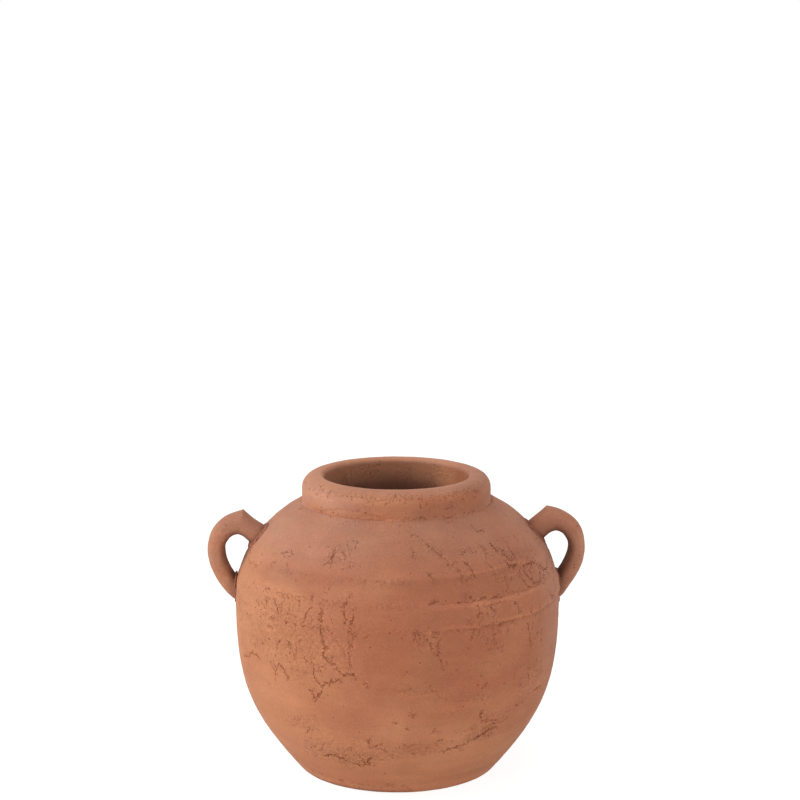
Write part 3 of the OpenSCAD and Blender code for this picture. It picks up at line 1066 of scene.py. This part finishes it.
def luting_form(line):
    """A bead of soft clay pressed along the line where a bar meets the wall."""
    ahead, behind = np.roll(line, -1, axis=0), np.roll(line, 1, axis=0)
    places = []
    for place, along in zip(line, ahead - behind):
        x, y, z = place
        radius = math.hypot(x, y)
        lean = float(skin_radius(z - LEAN_SPAN) - skin_radius(z + LEAN_SPAN)) / (2.0 * LEAN_SPAN)
        out = Vector((x / radius, y / radius, lean)).normalized()
        along = Vector(along).normalized()
        beside = along.cross(out).normalized()
        upper = z > UPPER_ROOTS
        if x > 0.0:
            fuller, held_out = RIGHT_UPPER_BEAD if upper else RIGHT_LOWER_BEAD
        else:
            fuller, held_out = LEFT_UPPER_BEAD if upper else LEFT_LOWER_BEAD
            fuller -= 0.0 if upper else THINNER_BELOW * float(ease(138.0, 131.0, z))
        corner = 1.6 * math.exp(-(((z - np.min(line[:, 2])) / 2.5) ** 2)) * upper
        wide = fuller * (2.4 + 1.3 * noise.noise(Vector(place) / 6.0)) + corner
        high = fuller * (0.9 + 0.8 * noise.noise(Vector(place) / 4.0 + Vector((9.0, 0.0, 0.0)))) + 0.6 * corner
        middle = Vector(place) + held_out * out
        places.append(laid_section(beside * max(wide, LEAST_WIDE), out * max(high, LEAST_HIGH), along, middle))
    form, _, first_ring, last_ring = drawn_out(places, LUTING_SIDES, SECTION_ROUND)
    bmesh.ops.bridge_loops(form, edges=first_ring + last_ring)
    bmesh.ops.subdivide_edges(form, edges=form.edges, cuts=1, use_grid_fill=True)
    bmesh.ops.recalc_face_normals(form, faces=form.faces)
    return form


def luting_relief(points, normals):
    """Lumps and tears left by the finger that pressed the clay down."""
    lumps = 0.38 * field(points, 4.0, 31) + 0.22 * field(points, 2.0, 32)
    moved = points + normals * lumps[:, None]
    tears = np.abs(field(points, 3.2, 38)) + 0.25 * field(points, 1.3, 39)
    torn = ease(0.12, 0.0, tears - np.where(points[:, 0] > 0.0, 0.05, 0.0))
    return moved, {"crack_and_fold_shade": 0.65 * torn, "worn": np.ones(len(points))}


# Finishes
FLOAT, VECTOR, COLOUR = "NodeSocketFloat", "NodeSocketVector", "NodeSocketColor"
PLACE = ("Vector", VECTOR, (0.0, 0.0, 0.0))
ANY_CLAY = (0.5, 0.2, 0.1, 1.0)


def new_group(name, inputs, outputs):
    group = bpy.data.node_groups.new(name, "ShaderNodeTree")
    for socket_name, kind, default in inputs:
        socket = group.interface.new_socket(socket_name, in_out="INPUT", socket_type=kind)
        socket.default_value = default
    for socket_name, kind in outputs:
        group.interface.new_socket(socket_name, in_out="OUTPUT", socket_type=kind)
    return group, group.nodes.new("NodeGroupInput").outputs, group.nodes.new("NodeGroupOutput").inputs


class Wiring:
    """Adds nodes to a tree and links them as they are made."""

    def __init__(self, tree):
        self.tree = tree

    def put(self, socket, value):
        if isinstance(value, bpy.types.NodeSocket):
            self.tree.links.new(value, socket)
        else:
            socket.default_value = value

    def node(self, kind, inputs=(), **settings):
        """A new node with its settings, and its inputs as pairs of a name or number and a value."""
        made = self.tree.nodes.new(kind)
        for name, value in settings.items():
            setattr(made, name, value)
        for name, value in inputs:
            self.put(made.inputs[name], value)
        return made

    def math(self, operation, *values, clamp=False):
        return self.node("ShaderNodeMath", enumerate(values), operation=operation, use_clamp=clamp).outputs[0]

    def times(self, first, second):
        return self.math("MULTIPLY", first, second)

    def plus(self, first, second, clamp=False):
        return self.math("ADD", first, second, clamp=clamp)

    def most(self, first, second):
        return self.math("MAXIMUM", first, second)

    def ramp(self, value, low, high, to_low=0.0, to_high=1.0):
        names = ("Value", "From Min", "From Max", "To Min", "To Max")
        inputs = zip(names, (value, low, high, to_low, to_high))
        return self.node("ShaderNodeMapRange", inputs, interpolation_type="SMOOTHSTEP").outputs["Result"]

    def noise(self, vector, scale, detail=3.0, roughness=0.55):
        inputs = zip(("Vector", "Scale", "Detail", "Roughness"), (vector, scale, detail, roughness))
        return self.node("ShaderNodeTexNoise", inputs).outputs["Fac"]

    def mix(self, share, first, second, blend="MIX"):
        made = self.node("ShaderNodeMix", [("Factor", share)], data_type="RGBA", blend_type=blend)
        colours = [socket for socket in made.inputs if socket.type == "RGBA"]
        self.put(colours[0], first)
        self.put(colours[1], second)
        return [socket for socket in made.outputs if socket.type == "RGBA"][0]

    def stretched(self, vector, scale):
        return self.node("ShaderNodeMapping", [("Vector", vector), ("Scale", scale)]).outputs["Vector"]

    def scaled(self, colour, share):
        return self.node("ShaderNodeVectorMath", [(0, colour), ("Scale", share)], operation="SCALE").outputs[0]

    def group(self, tree, **inputs):
        """A group placed in the tree; a space in an input's name is written as an underscore."""
        pairs = [(name.replace("_", " "), value) for name, value in inputs.items()]
        return self.node("ShaderNodeGroup", pairs, node_tree=tree).outputs


def pit_group():
    """Small open pits and pale crumbs; the share says how many of the cells hold one."""
    group, given, out = new_group(
        "clay pits",
        [PLACE, ("Spacing", FLOAT, 400.0), ("Share", FLOAT, 0.1)],
        [("Mask", FLOAT), ("Crumb", FLOAT)],
    )
    wire = Wiring(group)
    place = [("Vector", given["Vector"]), ("Scale", given["Spacing"])]
    cells = wire.node("ShaderNodeTexVoronoi", place, feature="F1").outputs
    chance, size = wire.node("ShaderNodeSeparateColor", [(0, cells["Color"])]).outputs[:2]
    hole = wire.ramp(wire.math("DIVIDE", cells["Distance"], wire.ramp(size, 0.0, 1.0, 0.2, 0.42)), 1.0, 0.35)
    pit = wire.math("LESS_THAN", chance, given["Share"])
    crumb = wire.math("GREATER_THAN", chance, wire.math("SUBTRACT", 1.0, given["Share"]))
    wire.put(out["Mask"], wire.times(hole, pit))
    wire.put(out["Crumb"], wire.times(hole, crumb))
    return group


HAIRLINE_BEND = 0.007


def hairline_group():
    """Fine broken cracks in patches."""
    group, given, out = new_group(
        "hairline cracks",
        [PLACE, ("Spacing", FLOAT, 90.0), ("Amount", FLOAT, 0.5)],
        [("Mask", FLOAT)],
    )
    wire = Wiring(group)
    vector = given["Vector"]
    bend = wire.node("ShaderNodeTexNoise", [("Vector", vector), ("Scale", 190.0), ("Detail", 4.0)]).outputs["Color"]
    shift = [(0, bend), (1, (HAIRLINE_BEND,) * 3), (2, vector)]
    bent = wire.node("ShaderNodeVectorMath", shift, operation="MULTIPLY_ADD").outputs[0]
    place = [("Vector", wire.stretched(bent, (1.0, 1.0, 0.7))), ("Scale", given["Spacing"])]
    cells = wire.node("ShaderNodeTexVoronoi", place, feature="DISTANCE_TO_EDGE")
    line = wire.ramp(cells.outputs["Distance"], 0.065, 0.015)
    low = wire.math("SUBTRACT", 0.78, wire.times(given["Amount"], 0.36))
    here = wire.ramp(wire.noise(vector, 24.0, 2.0), low, wire.plus(low, 0.08))
    broken = wire.ramp(wire.noise(vector, 330.0, 2.0), 0.49, 0.55)
    wire.put(out["Mask"], wire.times(line, wire.times(here, broken)))
    return group


def tone_group():
    """Uneven clay colour: blotches, wheel streaks, mottling, grain, and dust, which also carries painted light and
    sheen.
    """
    group, given, out = new_group(
        "clay tone",
        [
            PLACE,
            ("Clay", COLOUR, ANY_CLAY),
            ("Buff clay", COLOUR, ANY_CLAY),
            ("Buff", FLOAT, 0.0),
            ("Dusty", FLOAT, 0.0),
            ("Dust", COLOUR, ANY_CLAY),
            ("Dust amount", FLOAT, 0.5),
        ],
        [("Colour", COLOUR), ("Grain", FLOAT)],
    )
    wire = Wiring(group)
    vector = given["Vector"]
    blotch = wire.noise(vector, 17.0, 4.0, 0.5)
    streak = wire.noise(wire.stretched(vector, (14.0, 14.0, 120.0)), 1.0, 3.0, 0.5)
    mottle = wire.noise(vector, 120.0, 4.0, 0.6)
    grain = wire.noise(vector, 800.0, 3.0, 0.6)
    buff_and_light = wire.plus(given["Buff"], wire.ramp(blotch, 0.3, 0.7, -0.3, 0.3), clamp=True)
    base = wire.mix(buff_and_light, given["Clay"], given["Buff clay"])
    patchy = wire.ramp(wire.noise(vector, 33.0, 4.0, 0.6), 0.2, 0.7, 0.6, 1.0)
    dusted = wire.times(wire.times(given["Dusty"], patchy), given["Dust amount"])
    dust = wire.scaled(given["Dust"], wire.plus(wire.times(given["Buff"], 0.16), 1.0))
    base = wire.mix(dusted, base, dust)
    shade = wire.plus(wire.ramp(streak, 0.25, 0.75, 0.955, 1.045), wire.ramp(mottle, 0.25, 0.75, -0.035, 0.035))
    shade = wire.plus(shade, wire.ramp(grain, 0.25, 0.75, -0.1, 0.1))
    wire.put(out["Colour"], wire.scaled(base, shade))
    wire.put(out["Grain"], wire.plus(wire.times(grain, 0.5), wire.times(mottle, 0.5)))
    return group


PITS = pit_group()
HAIRLINES = hairline_group()
TONE = tone_group()


def srgb(red, green, blue):
    """A colour from its 0 to 255 screen values."""
    parts = [part / 255.0 for part in (red, green, blue)]
    return tuple(p / 12.92 if p <= 0.04045 else ((p + 0.055) / 1.055) ** 2.4 for p in parts) + (1.0,)


INSIDE_TINT = (0.51, 0.58, 0.71, 1.0)
SHADE_AND_GRIME = srgb(86, 56, 42)
SMALL_PITS, LARGE_PITS, HAIRLINE_CELLS = 520.0, 380.0, 190.0
UNIFORM = (
    ("Specular IOR Level", 0.2),
    ("Sheen Weight", 0.09),
    ("Sheen Roughness", 0.3),
    ("Sheen Tint", (1.0, 0.9, 0.8, 1.0)),
)


def clay_finish(name, clay, buff_clay, dust, dust_amount, dark, hairlines):
    """Matte fired clay."""
    material = bpy.data.materials.new(name)
    material.use_nodes = True
    wire = Wiring(material.node_tree)
    surface = material.node_tree.nodes["Principled BSDF"].inputs
    vector = wire.node("ShaderNodeTexCoord").outputs["Object"]
    crack_and_fold_shade, lip, worn, inside, buff_and_light, dust_and_sheen, shade_and_grime = (
        wire.node("ShaderNodeAttribute", attribute_name=value_name).outputs["Fac"]
        for value_name in ("crack_and_fold_shade", "lip", "worn", "inside", "buff_and_light", "dust_and_sheen", "shade_and_grime")
    )
    tone = wire.group(
        TONE, Vector=vector, Clay=clay, Buff_clay=buff_clay, Buff=buff_and_light, Dust=dust, Dusty=dust_and_sheen, Dust_amount=dust_amount
    )
    ragged = wire.noise(vector, 700.0, 3.0, 0.7)
    crumbs_and_highlights = wire.noise(vector, 430.0, 3.0, 0.65)

    # Pits, hairlines and cracks, as one mask of how open the skin is
    clusters = wire.ramp(wire.noise(vector, 150.0, 2.0), 0.42, 0.62, 0.015, 0.09)
    small = wire.group(PITS, Vector=vector, Spacing=SMALL_PITS, Share=wire.plus(wire.times(worn, clusters), 0.02))
    large = wire.group(PITS, Vector=vector, Spacing=LARGE_PITS, Share=wire.plus(wire.times(worn, 0.06), 0.004))
    amount = wire.plus(wire.times(worn, 0.9), hairlines)
    lines = wire.group(HAIRLINES, Vector=vector, Spacing=HAIRLINE_CELLS, Amount=amount)
    pits = wire.most(small["Mask"], large["Mask"])
    split = wire.ramp(wire.plus(crack_and_fold_shade, wire.ramp(ragged, 0.25, 0.75, -0.3, 0.3)), 0.35, 0.85)
    opened = wire.most(wire.times(pits, 0.85), wire.times(lines["Mask"], 0.3))
    opened = wire.most(opened, wire.times(split, 0.9))

    # Colour: painted highlights on edges and crumbs, the shaded inside, painted shade with some grime, and the dark of
    # the openings
    # Painted highlights on crack edges, the ridge's crest, the band's edges and the foot, with pale crumbs; the
    # speckle's lighter crumbs are painted highlights too
    pale = wire.most(wire.times(lip, 0.28), wire.times(small["Crumb"], 0.16))
    speckle = wire.math("MULTIPLY_ADD", wire.ramp(crumbs_and_highlights, 0.3, 0.7, -0.09, 0.12), worn, wire.plus(pale, 1.0))
    speckled = wire.scaled(tone["Colour"], speckle)
    within = wire.mix(1.0, speckled, INSIDE_TINT, "MULTIPLY")
    shaded = wire.mix(wire.times(inside, 0.9), speckled, within)
    soiled_and_shaded = wire.mix(wire.times(shade_and_grime, 0.85), shaded, SHADE_AND_GRIME)
    wire.put(surface["Base Color"], wire.mix(wire.times(opened, 0.85), soiled_and_shaded, dark))
    wire.put(surface["Roughness"], wire.ramp(tone["Grain"], 0.3, 0.7, 0.86, 0.97))
    for socket_name, value in UNIFORM:
        surface[socket_name].default_value = value

    # Bump: grain, crumbs where the skin is worn, and the openings
    rough = wire.times(wire.ramp(crumbs_and_highlights, 0.3, 0.7, -0.22, 0.22), worn)
    height = wire.plus(wire.times(tone["Grain"], 0.1), rough)
    height = wire.math("SUBTRACT", height, wire.times(opened, 0.5))
    bump = wire.node("ShaderNodeBump", [("Strength", 1.0), ("Distance", MM), ("Height", height)])
    wire.put(surface["Normal"], bump.outputs["Normal"])
    return material


FINISHES = {
    "terracotta": clay_finish(
        "terracotta", srgb(169, 104, 75), srgb(189, 127, 92), srgb(176, 127, 105), 0.88, srgb(156, 52, 8), 0.15
    ),
    "luting_clay": clay_finish(
        "luting clay", srgb(152, 89, 67), srgb(162, 99, 75), srgb(166, 110, 89), 0.6, srgb(80, 36, 20), 0.3
    ),
}

# The thrown pieces: columns round the vase, spacing of the rows, and how near a crack each round of cuts reaches
WALL_COLUMNS, BAND_COLUMNS, RIM_COLUMNS, FLOOR_COLUMNS = 300, 640, 360, 180
WALL_ROW, SHOULDER_ROW, BAND_ROW, RIM_ROW, FLOOR_ROW = 2.5, 1.6, 0.6, 1.0, 2.5
FOOT_ROW, INNER_ROW, BAND_BACK_ROW, UNDERSIDE_ROW = 3.0, 9.0, 3.0, 6.0
LOWER_REACHES, SHOULDER_REACHES, FINE_REACHES = (2.2, 1.1, 0.55), (2.0, 1.0, 0.55), (1.2, 0.6)


def thrown_piece(node, profile, columns, reaches, relief):
    """A profile turned on the wheel, with smaller faces along its cracks, finished in terracotta."""
    form = lathe(profile, columns)
    if reaches:
        refine_at_cracks(form, reaches)
    finish_piece(node, form, "terracotta", relief)


joint_out = stretch(OUTSIDE, wall_start[1], JOINT_Z)
joint_in = stretch(INSIDE, FLOOR_T, JOINT_Z + JOINT_SCARF)
floor_edge = joint_in[0]
floor_low = (floor_edge[0] - FLOOR_BEVEL, 0.0)
lower_profile = np.vstack([
    evenly([floor_low, (FOOT_R, 0.0)], FOOT_ROW)[:-1],
    foot_arc[:-1],
    evenly(joint_out, WALL_ROW),
    evenly(joint_in[::-1], INNER_ROW),
])
thrown_piece("lower_wall", lower_profile, WALL_COLUMNS, LOWER_REACHES, wall_relief)

shoulder_profile = np.vstack([
    evenly(stretch(OUTSIDE, JOINT_Z, NECK_Z), SHOULDER_ROW),
    evenly(stretch(INSIDE, JOINT_Z + JOINT_SCARF, NECK_INSIDE[1])[::-1], INNER_ROW / 2),
])
thrown_piece("shoulder_wall", shoulder_profile, WALL_COLUMNS, SHOULDER_REACHES, wall_relief)

# The band's edges: two places on the way from the wall to its front, and how far the second is drawn in
BAND_EDGE = 1.2
BAND_EDGE_LOW, BAND_EDGE_HIGH = 0.35, 0.85
BAND_EDGE_IN = np.array([0.0, 0.35])
BAND_BURIED = 0.3
band_face = stretch(OUTSIDE, BAND_LOW, BAND_TOP)
band_front = inset(band_face, -BAND_PROUD)
band_back = inset(band_face, BAND_BURIED)
first_turn, last_turn = (
    [band_front[end] * share + band_face[end] * (1.0 - share) for share in (BAND_EDGE_LOW, BAND_EDGE_HIGH)]
    for end in (0, -1)
)
rounded_front = np.vstack([
    band_face[0],
    first_turn[0],
    first_turn[1] + BAND_EDGE_IN,
    stretch(band_front, BAND_LOW + BAND_EDGE, BAND_TOP - BAND_EDGE),
    last_turn[1] - BAND_EDGE_IN,
    last_turn[0],
    band_face[-1],
])
band_profile = np.vstack([evenly(rounded_front, BAND_ROW), evenly(band_back[::-1], BAND_BACK_ROW)])
thrown_piece("belly_band", band_profile, BAND_COLUMNS, FINE_REACHES, band_relief)

BORE_ROUND = 6.0
RIM_TOE = (0.6, -3.6)
FILLET_DROP = 0.9
rim_outside = np.vstack([
    [(NECK_R + NECK_FILLET + RIM_TOE[0], NECK_Z + RIM_TOE[1])],
    arc((NECK_R + NECK_FILLET, NECK_Z + NECK_FILLET - FILLET_DROP), NECK_FILLET, 240.0, 180.0),
    arc((NECK_R - RIM_ROUND, RIM_CREST - RIM_ROUND), RIM_ROUND, 0.0, 90.0),
    arc((MOUTH_R + LIP_ROUND, RIM_CREST - LIP_ROUND), LIP_ROUND, 90.0, 180.0),
    arc((MOUTH_R + BORE_ROUND, BORE_LOW), BORE_ROUND, 180.0, 250.0),
    [NECK_INSIDE],
])
thrown_piece("rim_collar", evenly(rim_outside, RIM_ROW), RIM_COLUMNS, FINE_REACHES, rim_relief)

floor_profile = np.vstack([
    evenly([(0.0, 0.0), floor_low], UNDERSIDE_ROW),
    evenly([floor_edge, (0.0, FLOOR_T)], FLOOR_ROW),
])
thrown_piece("floor_disc", floor_profile, FLOOR_COLUMNS, (), floor_relief)

for side_name, side, root, loop in (("left", -1, LEFT_ROOT, LEFT_LOOP), ("right", 1, RIGHT_ROOT, RIGHT_LOOP)):
    form, *root_lines = handle_form(side, root, loop)
    finish_piece(side_name + "_handle", form, "terracotta", handle_relief)
    for level, line in zip(("upper", "lower"), root_lines):
        finish_piece(side_name + "_" + level + "_luting", luting_form(line), "luting_clay", luting_relief)

# Floor, light and camera
FLOOR_SIZE = 6.0
FLOOR_CELLS = 8
floor_form = bmesh.new()
bmesh.ops.create_grid(floor_form, x_segments=FLOOR_CELLS, y_segments=FLOOR_CELLS, size=FLOOR_SIZE)
floor_mesh = bpy.data.meshes.new("studio_floor")
floor_form.to_mesh(floor_mesh)
floor_form.free()
studio_floor = bpy.data.objects.new("studio_floor", floor_mesh)
bpy.context.scene.collection.objects.link(studio_floor)


def seen_share(wire):
    """1 where the camera, a gloss or a glass sees the surface, 0 for the light that it throws."""
    rays = wire.node("ShaderNodeLightPath").outputs
    return wire.most(wire.most(rays["Is Camera Ray"], rays["Is Glossy Ray"]), rays["Is Transmission Ray"])


THROWN_WHITE, SHOWN_GREY, SHOWN_GLOW = 0.9, 0.25, 0.88
paper = bpy.data.materials.new("pale floor")
paper.use_nodes = True
wire = Wiring(paper.node_tree)
paper.node_tree.nodes.remove(paper.node_tree.nodes["Principled BSDF"])
thrown, shown_lit = (
    wire.node("ShaderNodeBsdfDiffuse", [("Color", (grey, grey, grey, 1.0))]).outputs[0]
    for grey in (THROWN_WHITE, SHOWN_GREY)
)
shown_white = wire.node("ShaderNodeEmission", [("Strength", SHOWN_GLOW)]).outputs[0]
shown = wire.node("ShaderNodeAddShader", [(0, shown_lit), (1, shown_white)]).outputs[0]
either = wire.node("ShaderNodeMixShader", [(0, seen_share(wire)), (1, thrown), (2, shown)])
wire.put(paper.node_tree.nodes["Material Output"].inputs["Surface"], either.outputs[0])
floor_mesh.materials.append(paper)

WORLD_LIGHT = 0.78
world = bpy.data.worlds.new("studio")
bpy.context.scene.world = world
world.use_nodes = True
wire = Wiring(world.node_tree)
background = world.node_tree.nodes["Background"].inputs
background["Color"].default_value = (1.0, 1.0, 1.0, 1.0)
wire.put(background["Strength"], wire.ramp(seen_share(wire), 0.0, 1.0, WORLD_LIGHT, 1.0))

VASE_MIDDLE = Vector((0.0, 0.0, 0.12))
LAMP_SIZE = 1.2


def soft_lamp(name, place, power):
    """A square lamp aimed at the vase."""
    lamp = bpy.data.lights.new(name, "AREA")
    lamp.shape = "SQUARE"
    lamp.size = LAMP_SIZE
    lamp.energy = power
    lamp_holder = bpy.data.objects.new(name, lamp)
    lamp_holder.location = place
    lamp_holder.rotation_euler = (VASE_MIDDLE - Vector(place)).to_track_quat("-Z", "Y").to_euler()
    bpy.context.scene.collection.objects.link(lamp_holder)


soft_lamp("key", (-1.73, -0.15, 1.2), 15.0)
soft_lamp("fill", (-1.16, -1.66, 0.4), 7.2)
soft_lamp("side", (2.03, 0.0, 0.4), 3.9)

CAMERA_HEIGHT = 0.54854
CAMERA_DISTANCE = 1.45416
CAMERA_TURN = math.radians(-2.6)
CAMERA_PITCH = math.radians(10.0)
CAMERA_SIDE = 0.0026
camera = bpy.data.cameras.new("camera")
camera.lens = 85.0
camera.sensor_width = 36.0
holder = bpy.data.objects.new("camera", camera)
holder.location = (
    CAMERA_DISTANCE * math.sin(CAMERA_TURN) + CAMERA_SIDE * math.cos(CAMERA_TURN),
    -CAMERA_DISTANCE * math.cos(CAMERA_TURN) + CAMERA_SIDE * math.sin(CAMERA_TURN),
    CAMERA_HEIGHT,
)
holder.rotation_euler = (math.pi / 2 - CAMERA_PITCH, 0.0, CAMERA_TURN)
bpy.context.scene.collection.objects.link(holder)
bpy.context.scene.camera = holder
bpy.context.scene.view_settings.view_transform = "Standard"
